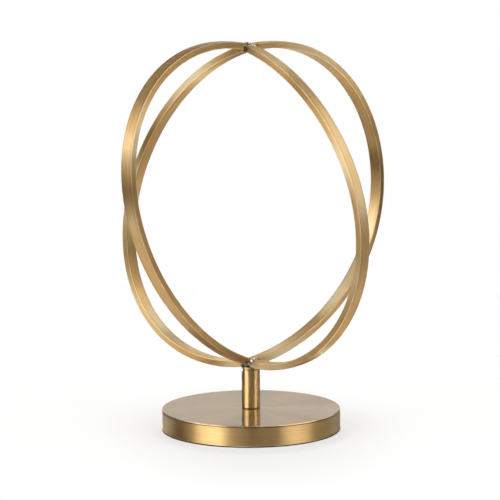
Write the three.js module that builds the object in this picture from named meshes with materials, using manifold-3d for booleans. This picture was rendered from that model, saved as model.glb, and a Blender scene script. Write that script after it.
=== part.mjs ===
// Ring sculpture: four bent flat bars rise from a short post on a weighted round base.
//
// Millimetres, +Z up. The origin lies on the floor, on the axis of the base and the post.
// The bars are half ovals. Seen from above they form an X, with the front towards -Y, and all
// four meet at a lower pole, on the post, and at an upper pole. Both joints are welded.
// Each oval is sheared, so that its widest point lies above or below the middle: the front left
// and rear right bars are lifted, the front right and rear left bars hang.

import * as THREE from 'three';
import { mergeVertices } from 'three/addons/utils/BufferGeometryUtils.js';
import Module from 'manifold-3d';

const wasm = await Module();
wasm.setup();

// Clearances between neighbouring pieces.
const SEAT_GAP = 0.3;        // between faces that touch on the real object
const SLIP_GAP = 0.5;        // round the weight and the plate, inside the shell
const ROOT_GAP = 1.2;        // between two bar ends at a pole, filled with weld metal
const EASE_CUT = 1;          // how far a cutting tool runs past the face that it opens

// Base shell: a turned cup with its closed side up.
const BASE_RADIUS = 89;
const BASE_HEIGHT = 20;
const SHELL_TOP_THICKNESS = 2;
const SHELL_WALL = 1.6;
const SHELL_TOP_EASE = 0.7;
const SHELL_RIM_EASE = 0.4;

// Felt pad under the base; the shell's rim floats above the floor by the drop.
const PAD_INSET = 1.9;       // from the shell's bore to the pad's edge
const PAD_THICKNESS = 1.5;
const PAD_DROP = 0.8;

// Plate that closes the base, and its countersunk screws.
const PLATE_THICKNESS = 2;
const SCREW_COUNT = 3;
const SCREW_INSET = 29;      // from the weight's edge to the screws
const SCREW_HEAD_RADIUS = 3.7;
const SCREW_HEAD_HEIGHT = 1.7;
const SCREW_SHANK_RADIUS = 2;
const SCREW_LENGTH = 11;
const SCREW_SINK = 0.1;      // how far the head lies inside the plate
const DRIVE_RADIUS = 1.3;
const DRIVE_DEPTH = 1;

// Clamping stack: threaded rod, washers and nut.
const ROD_RADIUS = 4;
const ROD_END_EASE = 0.8;
const WASHER_RADIUS = 8;
const WASHER_THICKNESS = 1.6;
const SPRING_WASHER_RADIUS = 7.2;
const SPRING_WASHER_THICKNESS = 2;
const SPRING_WASHER_SLIT = 1.6;
const NUT_ACROSS_FLATS = 13;
const NUT_HEIGHT = 6.5;
const POCKET_CLEARANCE = 3;  // round the washer, for a socket spanner
const ROD_STICKOUT = 0.3;    // of the rod's end below the nut

// Post: a tube with a bush in its foot and a shouldered cap in its head.
const POST_RADIUS = 9.1;
const POST_WALL = 1.5;
const POST_HEIGHT = 42.2;    // from the base's top face to the cap's top face
const POST_EDGE_EASE = 0.35;
const CAP_THICKNESS = 2.4;
const CAP_SPIGOT_LENGTH = 16;
const CAP_BORE_DEPTH = 13;
const BUSH_HEIGHT = 10;

// Bars: rectangular flat bar, bent the easy way into half ovals between the two poles.
const BAR_WIDTH = 13.4;
const BAR_THICKNESS = 7.1;
const BAR_EDGE_EASE = 0.45;
const OVAL_HALF_HEIGHT = 156.2;
const BAR_STEPS = 54;
const POLE_OVERRUN = 0.06;   // radians by which a bar is made too long before its ends are cut

// How far each oval stands out from the poles' line.
const FRONT_LEFT_REACH = 171;
const REAR_LEFT_REACH = 166.5;
const FRONT_RIGHT_REACH = 141.3;
const REAR_RIGHT_REACH = 205.4;

// How far its widest point lies above the middle.
const FRONT_LEFT_LIFT = 42;
const REAR_LEFT_LIFT = -37.5;
const FRONT_RIGHT_LIFT = -32.2;
const REAR_RIGHT_LIFT = 20.4;

// Hand bending leaves the upper quarter of each oval fuller or flatter than the lower one:
// lean moves it outwards and slump moves it upwards, both with twice the oval's own angle.
const FRONT_LEFT_LEAN = 2.6;
const REAR_LEFT_LEAN = -3.4;
const FRONT_RIGHT_LEAN = 3;
const REAR_RIGHT_LEAN = -7.2;
const FRONT_LEFT_SLUMP = -3;
const REAR_LEFT_SLUMP = 0.3;
const FRONT_RIGHT_SLUMP = -6.2;
const REAR_RIGHT_SLUMP = 2.7;

// turn is the bar's direction in plan, in degrees from +X.
const bar = (name, turn, reach, lift, lean, slump) => ({ name, turn, reach, lift, lean, slump });

const BARS = [
  bar('arc_front_left', 225, FRONT_LEFT_REACH, FRONT_LEFT_LIFT,
    FRONT_LEFT_LEAN, FRONT_LEFT_SLUMP),
  bar('arc_rear_left', 135, REAR_LEFT_REACH, REAR_LEFT_LIFT,
    REAR_LEFT_LEAN, REAR_LEFT_SLUMP),
  bar('arc_front_right', 315, FRONT_RIGHT_REACH, FRONT_RIGHT_LIFT,
    FRONT_RIGHT_LEAN, FRONT_RIGHT_SLUMP),
  bar('arc_rear_right', 45, REAR_RIGHT_REACH, REAR_RIGHT_LIFT,
    REAR_RIGHT_LEAN, REAR_RIGHT_SLUMP),
];

// Weld metal at the poles, before the bars are cut out of it.
const WELD_RADIUS = 11.6;
const TOP_WELD_HALF_HEIGHT = 4.6;
const BOTTOM_WELD_HALF_HEIGHT = 4.9;

// How round things are faceted.
const WIDE_SEGMENTS = 72;
const SLIM_SEGMENTS = 40;
const SMALL_SEGMENTS = 24;
const WELD_RINGS = 12;

// Levels, from the floor up.
const baseTopZ = PAD_DROP + BASE_HEIGHT;
const shellCeilingZ = baseTopZ - SHELL_TOP_THICKNESS;
const shellBoreRadius = BASE_RADIUS - SHELL_WALL;
const fillRadius = shellBoreRadius - SLIP_GAP;
const padRadius = shellBoreRadius - PAD_INSET;
const screwCircleRadius = fillRadius - SCREW_INSET;
const pocketRadius = WASHER_RADIUS + POCKET_CLEARANCE;
const plateBottomZ = PAD_THICKNESS + SEAT_GAP;
const plateTopZ = plateBottomZ + PLATE_THICKNESS;
const weightBottomZ = plateTopZ + SEAT_GAP;
const weightTopZ = shellCeilingZ - SEAT_GAP;
const nutBottomZ = weightBottomZ + ROD_STICKOUT + SEAT_GAP;
const nutTopZ = nutBottomZ + NUT_HEIGHT;
const springBottomZ = nutTopZ + SEAT_GAP;
const washerBottomZ = springBottomZ + SPRING_WASHER_THICKNESS + SEAT_GAP;
const pocketTopZ = washerBottomZ + WASHER_THICKNESS + SEAT_GAP;
const rodBoreRadius = ROD_RADIUS + SEAT_GAP;
const postFootZ = baseTopZ + SEAT_GAP;
const capTopZ = baseTopZ + POST_HEIGHT;
const capShoulderZ = capTopZ - CAP_THICKNESS;
const spigotBottomZ = capShoulderZ - CAP_SPIGOT_LENGTH;
const spigotRadius = POST_RADIUS - POST_WALL - SEAT_GAP;
const rodBottomZ = nutBottomZ - ROD_STICKOUT;
const rodTopZ = spigotBottomZ + CAP_BORE_DEPTH - SEAT_GAP;
const seatZ = capTopZ + SEAT_GAP;
const lowerPoleZ = seatZ + BAR_THICKNESS / 2;
const ovalCentreZ = lowerPoleZ + OVAL_HALF_HEIGHT;
const upperPoleZ = ovalCentreZ + OVAL_HALF_HEIGHT;

// Finishes.
const finish = (color, roughness, metalness) =>
  new THREE.MeshStandardMaterial({ color, roughness, metalness });
const brushedBrass = () => finish(0xab8a54, 0.36, 1);
const weldMetal = () => finish(0x8d8478, 0.5, 1);
const zincSteel = () => finish(0xb8bcc0, 0.35, 1);
const castIron = () => finish(0x3a3b3d, 0.75, 0.6);
const blackSteel = () => finish(0x26272a, 0.5, 0.6);
const felt = () => finish(0x2b2a28, 0.95, 0);

// Solid and geometry helpers.
function toSolid(geometry) {
  const bare = geometry.clone();
  bare.deleteAttribute('normal');
  bare.deleteAttribute('uv');
  const merged = mergeVertices(bare, 1e-4);
  return new wasm.Manifold(new wasm.Mesh({
    numProp: 3,
    vertProperties: new Float32Array(merged.attributes.position.array),
    triVerts: new Uint32Array(merged.index.array),
  }));
}

function toGeometry(solid) {
  const mesh = solid.getMesh();
  const geometry = new THREE.BufferGeometry();
  geometry.setAttribute('position', new THREE.BufferAttribute(mesh.vertProperties, 3));
  geometry.setIndex(new THREE.BufferAttribute(mesh.triVerts, 1));
  geometry.computeVertexNormals();
  return geometry;
}

// Solid of revolution about Z from (radius, height) pairs. The pairs run so that the material
// lies on their left when the radius is drawn to the right and the height upwards.
function turned(profile, segments) {
  const points = profile.map(([radius, z]) => new THREE.Vector2(radius, z));
  return new THREE.LatheGeometry(points, segments).rotateX(Math.PI / 2);
}

const rod = (radius, bottom, top, segments) =>
  turned([[0, bottom], [radius, bottom], [radius, top], [0, top]], segments);

function ring(outer, inner, bottom, top, segments) {
  const section = [[inner, bottom], [outer, bottom], [outer, top], [inner, top], [inner, bottom]];
  return turned(section, segments);
}

function place(name, geometry, material) {
  const mesh = new THREE.Mesh(geometry, material);
  mesh.name = name;
  return mesh;
}

// Base.
function baseShell() {
  const top = baseTopZ;
  return turned([
    [rodBoreRadius, shellCeilingZ],
    [shellBoreRadius, shellCeilingZ],
    [shellBoreRadius, PAD_DROP],
    [BASE_RADIUS - SHELL_RIM_EASE, PAD_DROP],
    [BASE_RADIUS, PAD_DROP + SHELL_RIM_EASE],
    [BASE_RADIUS, top - SHELL_TOP_EASE],
    [BASE_RADIUS - SHELL_TOP_EASE, top],
    [rodBoreRadius, top],
    [rodBoreRadius, shellCeilingZ],
  ], WIDE_SEGMENTS);
}

const screwPlaces = Array.from({ length: SCREW_COUNT }, (_, i) => {
  const angle = Math.PI / 2 + (i * 2 * Math.PI) / SCREW_COUNT;
  return new THREE.Vector3(
    screwCircleRadius * Math.cos(angle), screwCircleRadius * Math.sin(angle), plateBottomZ);
});

// Countersunk screw, head down, measured from the plate's underside. Grown by a clearance it
// is also the tool that cuts its own hole.
function screwProfile(clearance, mouth) {
  const head = SCREW_HEAD_RADIUS + clearance;
  const shank = SCREW_SHANK_RADIUS + clearance;
  const neck = mouth + SCREW_HEAD_HEIGHT;
  return [[0, mouth], [head, mouth], [shank, neck], [shank, mouth + SCREW_LENGTH + clearance],
    [0, mouth + SCREW_LENGTH + clearance]];
}

function screwTool() {
  const cone = screwProfile(SEAT_GAP, 0);
  const [, rim] = cone;
  return toSolid(turned([[0, -EASE_CUT], [rim[0], -EASE_CUT], ...cone.slice(1)], SMALL_SEGMENTS));
}

function drilled(geometry) {
  let solid = toSolid(geometry);
  const tool = screwTool();
  for (const spot of screwPlaces) solid = solid.subtract(tool.translate([spot.x, spot.y, spot.z]));
  return toGeometry(solid);
}

const bottomPlate = () => drilled(rod(fillRadius, plateBottomZ, plateTopZ, WIDE_SEGMENTS));

const ballastWeight = () => drilled(turned([
  [pocketRadius, weightBottomZ],
  [fillRadius, weightBottomZ],
  [fillRadius, weightTopZ],
  [rodBoreRadius, weightTopZ],
  [rodBoreRadius, pocketTopZ],
  [pocketRadius, pocketTopZ],
  [pocketRadius, weightBottomZ],
], WIDE_SEGMENTS));

function plateScrew() {
  const body = toSolid(turned(screwProfile(0, SCREW_SINK), SMALL_SEGMENTS));
  const socket = new THREE.CylinderGeometry(
    DRIVE_RADIUS, DRIVE_RADIUS, DRIVE_DEPTH + EASE_CUT, 6).rotateX(Math.PI / 2);
  const socketZ = SCREW_SINK + (DRIVE_DEPTH - EASE_CUT) / 2;
  return toGeometry(body.subtract(toSolid(socket).translate([0, 0, socketZ])));
}

// Clamping stack.
function threadedRod() {
  const neck = ROD_RADIUS - ROD_END_EASE;
  return turned([
    [0, rodBottomZ],
    [neck, rodBottomZ],
    [ROD_RADIUS, rodBottomZ + ROD_END_EASE],
    [ROD_RADIUS, rodTopZ - ROD_END_EASE],
    [neck, rodTopZ],
    [0, rodTopZ],
  ], SMALL_SEGMENTS);
}

function rodNut() {
  const corner = NUT_ACROSS_FLATS / 2 / Math.cos(Math.PI / 6);
  const outline = new THREE.Shape();
  for (let i = 0; i < 6; i += 1) {
    const angle = (i * Math.PI) / 3;
    const method = i ? 'lineTo' : 'moveTo';
    outline[method](corner * Math.cos(angle), corner * Math.sin(angle));
  }
  outline.closePath();
  const bore = new THREE.Path();
  bore.absarc(0, 0, rodBoreRadius, 0, 2 * Math.PI, true);
  outline.holes.push(bore);
  return new THREE.ExtrudeGeometry(outline, {
    depth: NUT_HEIGHT, bevelEnabled: false, curveSegments: SMALL_SEGMENTS / 2,
  }).translate(0, 0, nutBottomZ);
}

// The split washer is drawn flat, as it is once clamped.
function springWasher() {
  const half = Math.asin(SPRING_WASHER_SLIT / 2 / rodBoreRadius);
  const outline = new THREE.Shape();
  outline.absarc(0, 0, SPRING_WASHER_RADIUS, half, 2 * Math.PI - half, false);
  outline.absarc(0, 0, rodBoreRadius, 2 * Math.PI - half, half, true);
  outline.closePath();
  return new THREE.ExtrudeGeometry(outline, {
    depth: SPRING_WASHER_THICKNESS, bevelEnabled: false, curveSegments: SMALL_SEGMENTS,
  }).translate(0, 0, springBottomZ);
}

const flatWasher = () => ring(
  WASHER_RADIUS, rodBoreRadius, washerBottomZ, washerBottomZ + WASHER_THICKNESS, SMALL_SEGMENTS);

// Post.
const postTube = () => ring(
  POST_RADIUS, POST_RADIUS - POST_WALL, postFootZ, capShoulderZ - SEAT_GAP, SLIM_SEGMENTS);

const footBush = () => ring(
  spigotRadius, rodBoreRadius, postFootZ, postFootZ + BUSH_HEIGHT, SLIM_SEGMENTS);

function postCap() {
  const boreTopZ = spigotBottomZ + CAP_BORE_DEPTH;
  return turned([
    [rodBoreRadius, spigotBottomZ],
    [spigotRadius, spigotBottomZ],
    [spigotRadius, capShoulderZ],
    [POST_RADIUS, capShoulderZ],
    [POST_RADIUS, capTopZ - POST_EDGE_EASE],
    [POST_RADIUS - POST_EDGE_EASE, capTopZ],
    [0, capTopZ],
    [0, boreTopZ],
    [rodBoreRadius, boreTopZ],
    [rodBoreRadius, spigotBottomZ],
  ], SLIM_SEGMENTS);
}

// Middle line of a bar at the angle tau, 0 at the upper pole and pi at the lower one, as
// (distance out from the poles' line, height above the oval's centre).
function middleLine(shape, tau) {
  const once = Math.sin(tau);
  const twice = Math.sin(2 * tau);
  return new THREE.Vector2(
    shape.reach * once + shape.lean * twice,
    OVAL_HALF_HEIGHT * Math.cos(tau) + shape.lift * once + shape.slump * twice);
}

function middleSlope(shape, tau) {
  const once = Math.cos(tau);
  const twice = 2 * Math.cos(2 * tau);
  return new THREE.Vector2(
    shape.reach * once + shape.lean * twice,
    -OVAL_HALF_HEIGHT * Math.sin(tau) + shape.lift * once + shape.slump * twice).normalize();
}

// A bar before its ends are cut, in its own frame: X out from the poles' line, Z up. The
// outline is the middle line offset to both sides, and it is extruded across the bar.
// grow widens the section all round, for the weld metal to clear it.
function rawBar(shape, grow) {
  const outside = [];
  const inside = [];
  const half = BAR_THICKNESS / 2 + grow;
  for (let i = 0; i <= BAR_STEPS; i += 1) {
    const tau = -POLE_OVERRUN + (i / BAR_STEPS) * (Math.PI + 2 * POLE_OVERRUN);
    const point = middleLine(shape, tau);
    const along = middleSlope(shape, tau);
    const out = new THREE.Vector2(-along.y, along.x).multiplyScalar(half);
    outside.push(point.clone().add(out));
    inside.push(point.clone().sub(out));
  }
  const outline = new THREE.Shape(outside.concat(inside.reverse()));
  const width = BAR_WIDTH + 2 * grow;
  return new THREE.ExtrudeGeometry(outline, {
    depth: width - 2 * BAR_EDGE_EASE,
    bevelThickness: BAR_EDGE_EASE,
    bevelSize: BAR_EDGE_EASE,
    bevelOffset: -BAR_EDGE_EASE,
    bevelSegments: 1,
  }).translate(0, 0, BAR_EDGE_EASE - width / 2).rotateX(Math.PI / 2).translate(0, 0, ovalCentreZ);
}

// The quarter of the plan that belongs to one bar, so that four ends close to a mitred X.
function quarterTool(grow) {
  const tip = (ROOT_GAP / 2) * Math.SQRT2 - grow;
  const far = 2 * OVAL_HALF_HEIGHT;
  const quarter = new THREE.Shape([
    new THREE.Vector2(tip, 0),
    new THREE.Vector2(far, tip - far),
    new THREE.Vector2(far, far - tip),
  ]);
  const height = upperPoleZ + OVAL_HALF_HEIGHT;
  return toSolid(new THREE.ExtrudeGeometry(quarter, { depth: height, bevelEnabled: false }));
}

const radians = (degrees) => (degrees * Math.PI) / 180;

// Mitred ends, and a flat filed under the lower one where it sits on the post's cap.
function barSolid(shape, grow) {
  const seat = toSolid(rod(POST_RADIUS + SEAT_GAP, baseTopZ, seatZ, SLIM_SEGMENTS));
  return toSolid(rawBar(shape, grow)).intersect(quarterTool(grow)).subtract(seat);
}

function barMesh(shape) {
  const mesh = place(shape.name, toGeometry(barSolid(shape, 0)), brushedBrass());
  mesh.rotation.z = radians(shape.turn);
  return mesh;
}

// Weld metal: a flattened ball round the pole with the four bar ends cut out of it.
function weldSolid(poleZ, halfHeight, floorZ) {
  const ball = new THREE.SphereGeometry(1, SMALL_SEGMENTS, WELD_RINGS)
    .rotateX(Math.PI / 2)
    .scale(WELD_RADIUS, WELD_RADIUS, halfHeight)
    .translate(0, 0, poleZ);
  let solid = toSolid(ball);
  for (const shape of BARS) {
    solid = solid.subtract(barSolid(shape, SEAT_GAP).rotate([0, 0, shape.turn]));
  }
  if (floorZ) solid = solid.subtract(toSolid(rod(2 * WELD_RADIUS, baseTopZ, floorZ, SMALL_SEGMENTS)));
  const pieces = solid.decompose();
  return pieces.reduce((a, b) => (a.volume() > b.volume() ? a : b));
}

const weldMesh = (name, poleZ, halfHeight, floorZ) =>
  place(name, toGeometry(weldSolid(poleZ, halfHeight, floorZ)), weldMetal());

const group = new THREE.Group();
group.name = 'ring_sculpture';

for (const shape of BARS) group.add(barMesh(shape));
group.add(weldMesh('top_weld', upperPoleZ, TOP_WELD_HALF_HEIGHT, 0));
group.add(weldMesh('bottom_weld', lowerPoleZ, BOTTOM_WELD_HALF_HEIGHT, seatZ));

group.add(place('post_cap', postCap(), brushedBrass()));
group.add(place('post_tube', postTube(), brushedBrass()));
group.add(place('post_foot_bush', footBush(), zincSteel()));
group.add(place('threaded_rod', threadedRod(), zincSteel()));
group.add(place('base_shell', baseShell(), brushedBrass()));
group.add(place('ballast_weight', ballastWeight(), castIron()));
group.add(place('flat_washer', flatWasher(), zincSteel()));
group.add(place('spring_washer', springWasher(), zincSteel()));
group.add(place('rod_nut', rodNut(), zincSteel()));
group.add(place('bottom_plate', bottomPlate(), blackSteel()));
group.add(place('felt_pad', rod(padRadius, 0, PAD_THICKNESS, WIDE_SEGMENTS), felt()));

screwPlaces.forEach((spot, i) => {
  const screw = place(`plate_screw_${i + 1}`, plateScrew(), zincSteel());
  screw.position.copy(spot);
  group.add(screw);
});

export default group;
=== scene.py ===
# %% [markdown]
# A ring sculpture in antique brushed brass: four flat bars, each bent into half an oval, are
# welded together at an upper and a lower pole, and stand on a short round post on a heavy round
# base. The metal parts were drawn and packed first, and this lesson dresses them: it makes fine
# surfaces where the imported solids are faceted, and gives every piece the finish of the real one.
# All lengths are in metres, +Z is up, and the origin lies on the floor under the post.

import bmesh
import bpy
import numpy as np
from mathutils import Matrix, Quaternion, Vector


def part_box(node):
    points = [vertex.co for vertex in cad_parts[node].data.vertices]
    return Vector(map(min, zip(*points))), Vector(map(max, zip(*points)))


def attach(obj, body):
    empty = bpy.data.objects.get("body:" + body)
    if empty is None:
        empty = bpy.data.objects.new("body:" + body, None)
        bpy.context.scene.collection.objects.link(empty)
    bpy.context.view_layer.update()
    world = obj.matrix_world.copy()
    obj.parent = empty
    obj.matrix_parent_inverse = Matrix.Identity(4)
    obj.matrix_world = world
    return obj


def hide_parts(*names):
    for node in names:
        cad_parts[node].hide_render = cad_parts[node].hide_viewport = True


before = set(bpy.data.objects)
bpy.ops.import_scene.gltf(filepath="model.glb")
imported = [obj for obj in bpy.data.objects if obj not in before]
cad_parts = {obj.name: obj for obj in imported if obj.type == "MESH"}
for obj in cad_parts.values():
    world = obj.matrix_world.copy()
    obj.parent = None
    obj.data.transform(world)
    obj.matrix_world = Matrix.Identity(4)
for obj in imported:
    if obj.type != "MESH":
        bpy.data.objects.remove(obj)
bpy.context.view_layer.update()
MM = 0.001
print("packed pieces:", len(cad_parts))

# %% [markdown]
# The frame already knows how big everything is, so the levels and radii come from its boxes.
# Only what a box can't tell, such as the bars' curve and how far their edges are eased, is
# written here as a size of its own.

# %% Levels and radii from the frame


def levels(node):
    """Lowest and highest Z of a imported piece."""
    low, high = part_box(node)
    return low.z, high.z


def radius(node):
    """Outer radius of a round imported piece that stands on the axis."""
    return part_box(node)[1].x


RIM_BOTTOM, BASE_TOP = levels("base_shell")
BASE_RADIUS = radius("base_shell")
POST_FOOT, TUBE_TOP = levels("post_tube")
POST_RADIUS = radius("post_tube")
SPIGOT_BOTTOM, CAP_TOP = levels("post_cap")
SEAT = levels("bottom_weld")[0]
print("base top", round(BASE_TOP / MM, 2), "cap top", round(CAP_TOP / MM, 2), "mm")

# %% [markdown]
# The camera stands where the photographer stood: 2.2 metres off, nearly 12 degrees above the
# base and 4 degrees round to its left. Such a long lens keeps the ovals from looking bulged. The
# picture is 500 by 500, and the middle of the base's top face belongs at a known place in it, so
# the camera is first levelled, then rolled, and last turned by the small angle that brings that
# point home.

# %% Camera
PICTURE = 500
SENSOR = 36 * MM
VIEW_DISTANCE = 2.2
VIEW_ELEVATION = np.radians(11.8)
VIEW_TURN = np.radians(-4)
VIEW_ROLL = np.radians(-0.36)
TARGET_PIXEL = np.array([251.05, 407.4])


def new_object(name, data):
    """Object with this data, linked to the scene."""
    made = bpy.data.objects.new(name, data)
    bpy.context.scene.collection.objects.link(made)
    return made


def make_camera():
    """Camera whose picture has the base's middle at TARGET_PIXEL."""
    target = Vector((0, 0, BASE_TOP))
    level = VIEW_DISTANCE * np.cos(VIEW_ELEVATION)
    offset = Vector((level * np.sin(VIEW_TURN), -level * np.cos(VIEW_TURN),
                     VIEW_DISTANCE * np.sin(VIEW_ELEVATION)))
    down = TARGET_PIXEL[1] - PICTURE / 2
    right = TARGET_PIXEL[0] - PICTURE / 2
    focal = np.sqrt((VIEW_DISTANCE / MM) ** 2 - down ** 2)
    data = bpy.data.cameras.new("camera")
    data.sensor_width = SENSOR / MM
    data.lens = focal / PICTURE * SENSOR / MM
    data.clip_start = 0.1
    data.clip_end = 50
    camera = new_object("camera", data)
    camera.location = target + offset
    pitch = VIEW_ELEVATION - np.arctan2(down, focal)
    ahead = Vector((-np.sin(VIEW_TURN) * np.cos(pitch), np.cos(VIEW_TURN) * np.cos(pitch),
                    -np.sin(pitch)))
    turn = ahead.to_track_quat("-Z", "Y") @ Quaternion((0, 0, 1), VIEW_ROLL)
    seen = turn @ Vector((right, -down, -focal)).normalized()
    camera.rotation_mode = "QUATERNION"
    camera.rotation_quaternion = seen.rotation_difference(-offset.normalized()) @ turn
    bpy.context.scene.camera = camera
    return camera


camera = make_camera()
print("lens", round(camera.data.lens, 1), "mm, camera at", [round(x, 3) for x in camera.location])

# %% [markdown]
# Every surface below is a grid: rows of points times columns of points, worked out as whole
# arrays. One helper joins neighbouring points into four-sided faces, another makes the piece, a
# third stores a number for each point, which a material can read, and the last merges doubled
# points, turns all faces outwards and marks the sharp edges.

# %% Grids and meshes
ROOT = "root"
SHARP_ANGLE = np.radians(32)
SAME_POINT = 1e-6
SLIVER = 1e-7
STRAIGHT = np.radians(89.9)
ARC_LEAD = 0.35


def full_turn(count):
    """Row of evenly spaced angles round a full turn."""
    return np.arange(count)[None, :] * 2 * np.pi / count


def spun(r, angle, z):
    """Points (r cos a, r sin a, z), with radii, angles and heights broadcast together."""
    return np.stack(np.broadcast_arrays(r * np.cos(angle), r * np.sin(angle), z), -1)


def grid_faces(rows, columns, closed_rows=False):
    """Quads between neighbours: (i, j), (i+1, j), (i+1, j+1), (i, j+1), counted row by row."""
    i = np.arange(rows if closed_rows else rows - 1)[:, None]
    j = np.arange(columns)[None, :]
    below, after = (i + 1) % rows, (j + 1) % columns
    corners = [i * columns + j, below * columns + j, below * columns + after, i * columns + after]
    return np.stack(np.broadcast_arrays(*corners), -1).reshape(-1, 4)


def make_piece(name, points, faces, material, nodes):
    """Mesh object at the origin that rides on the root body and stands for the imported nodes."""
    mesh = bpy.data.meshes.new(name)
    mesh.from_pydata(np.reshape(points, (-1, 3)).tolist(), [], [list(face) for face in faces])
    piece = new_object(name, mesh)
    mesh.materials.append(material)
    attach(piece, ROOT)
    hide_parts(*nodes)
    return piece


def mark(piece, title, values):
    """Attribute with one number for each point of the mesh."""
    attribute = piece.data.attributes.new(title, "FLOAT", "POINT")
    attribute.data.foreach_set("value", np.ravel(values))


def tidy(piece, sharp=SHARP_ANGLE):
    """Doubles merged, faces outwards, smooth faces with sharp edges over the given angle."""
    work = bmesh.new()
    work.from_mesh(piece.data)
    bmesh.ops.remove_doubles(work, verts=work.verts, dist=SAME_POINT)
    bmesh.ops.dissolve_degenerate(work, edges=work.edges, dist=SLIVER)
    bmesh.ops.recalc_face_normals(work, faces=work.faces)
    open_edges = sum(not edge.is_manifold for edge in work.edges)
    work.to_mesh(piece.data)
    work.free()
    piece.data.polygons.foreach_set("use_smooth", np.ones(len(piece.data.polygons), bool))
    piece.data.set_sharp_from_angle(angle=sharp)
    print(piece.name, len(piece.data.polygons), "faces, open edges", open_edges)


def rounded(corners, steps=5):
    """Closed outline whose corners are arcs. Each corner is (x, y, ease): the arc touches both
    sides, its middle lies on the bisector at ease / sin(half angle), and its points follow by
    spherical interpolation between the two touching radii. Returns points and an arc mask."""
    flat = np.array(corners, float)
    place, ease = flat[:, :2], flat[:, 2]
    before, after = np.roll(place, 1, 0) - place, np.roll(place, -1, 0) - place
    before /= np.linalg.norm(before, axis=1)[:, None]
    after /= np.linalg.norm(after, axis=1)[:, None]
    points, mask = [], []
    for p, e, b, a in zip(place, ease, before, after):
        half = np.arccos(np.clip(b @ a, -1, 1)) / 2
        if e == 0 or half > STRAIGHT:
            points.append(p[None])
            mask.append([0.0])
            continue
        reach = e / np.tan(half)
        middle = p + (a + b) / np.linalg.norm(a + b) * e / np.sin(half)
        first, last = p + b * reach - middle, p + a * reach - middle
        span = np.pi - 2 * half
        t = np.linspace(0, 1, steps)[:, None]
        arc = (np.sin((1 - t) * span) * first + np.sin(t * span) * last) / np.sin(span)
        lead = ARC_LEAD * reach
        points.append(np.vstack([middle + first + b * lead, middle + arc, middle + last + a * lead]))
        mask.append([0.0] + [1.0] * steps + [0.0])
    return np.vstack(points), np.concatenate(mask)


def lathe(profile, segments):
    """Each profile pair (r, z) spun round the axis."""
    return spun(profile[:, :1], full_turn(segments), profile[:, 1:2])


# %% [markdown]
# The finishes come next. On the real object every brass surface was first brushed, then
# darkened and lacquered. Three effects repeat: fine brush lines, soft cloudy marks and brighter
# worn edges. Each is a node group that is built once and used with its own values, and each puts
# out only a mask, so the shader itself stays in the material where its gloss can be read. Small
# helpers keep the recipes short: they take numbers or other nodes' outputs, and find the node
# tree from the sockets that they are given.

# %% Helpers for shader nodes


def add_node(tree, kind, **settings):
    """New shader node of this kind with these settings."""
    node = tree.nodes.new("ShaderNode" + kind)
    for title, value in settings.items():
        setattr(node, title, value)
    return node


def feed(sockets, values):
    """One value into each socket: a number, a vector, a colour or another node's output."""
    for socket, value in zip(sockets, values):
        if isinstance(value, bpy.types.NodeSocket):
            socket.id_data.links.new(value, socket)
        else:
            socket.default_value = (*value, 1) if socket.type == "RGBA" else value


def fill(node, **values):
    """Values into a node's inputs by name, with _ for a space; returns the node."""
    feed([node.inputs[title.replace("_", " ")] for title in values], values.values())
    return node


def math(operation, *values, clamp=False):
    """Math node on numbers and sockets, in the tree that the first socket belongs to."""
    tree = next(value.id_data for value in values if isinstance(value, bpy.types.NodeSocket))
    node = add_node(tree, "Math", operation=operation, use_clamp=clamp)
    feed(node.inputs, values)
    return node.outputs[0]


def add(a, b, clamp=False):
    """Sum of a and b."""
    return math("ADD", a, b, clamp=clamp)


def times(a, b, clamp=False):
    """Product of a and b."""
    return math("MULTIPLY", a, b, clamp=clamp)


def vector_math(operation, *values):
    """Vector math node on a socket and further values; returns the node."""
    node = add_node(values[0].id_data, "VectorMath", operation=operation)
    feed(node.inputs, values)
    return node


def split(vector):
    """The vector's x, y and z."""
    return fill(add_node(vector.id_data, "SeparateXYZ"), Vector=vector).outputs


def joined(x, y, z):
    """Vector with these three parts."""
    return fill(add_node(x.id_data, "CombineXYZ"), X=x, Y=y, Z=z).outputs[0]


def ramp(value, low, high, to_low=0.0, to_high=1.0):
    """Smooth step of value from low to high, given out as to_low to to_high."""
    node = add_node(value.id_data, "MapRange", interpolation_type="SMOOTHSTEP")
    fill(node, Value=value, From_Min=low, From_Max=high, To_Min=to_low, To_Max=to_high)
    return node.outputs["Result"]


def mix(factor, a, b):
    """Colour a where factor is 0 and b where it is 1; a and b are colours or sockets."""
    node = add_node(factor.id_data, "Mix", data_type="RGBA")
    colours = [socket for socket in node.inputs if socket.type == "RGBA"]
    feed([node.inputs["Factor"], *colours], (factor, a, b))
    return next(socket for socket in node.outputs if socket.type == "RGBA")


def noise(vector, scale, detail=2.0, roughness=0.5):
    """Value of a 3D noise at the vector."""
    node = add_node(vector.id_data, "TexNoise")
    fill(node, Vector=vector, Scale=scale, Detail=detail, Roughness=roughness)
    return node.outputs["Fac"]


def object_place(tree):
    """Place on the object, in metres."""
    return add_node(tree, "TexCoord").outputs["Object"]


def attribute(tree, title):
    """Number that the mesh carries under this title, 0 if it has none."""
    return add_node(tree, "Attribute", attribute_name=title).outputs["Fac"]


def new_group(name, numbers, output):
    """Empty node group that takes a place and the named numbers and gives out one mask. Returns
    the tree, the sockets that bring its inputs, and its end node."""
    tree = bpy.data.node_groups.new(name, "ShaderNodeTree")
    tree.interface.new_socket("Place", in_out="INPUT", socket_type="NodeSocketVector")
    for title in numbers:
        tree.interface.new_socket(title, in_out="INPUT", socket_type="NodeSocketFloat")
    tree.interface.new_socket(output, in_out="OUTPUT", socket_type="NodeSocketFloat")
    start = tree.nodes.new("NodeGroupInput").outputs[:len(numbers) + 1]
    return tree, start, tree.nodes.new("NodeGroupOutput")


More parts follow.
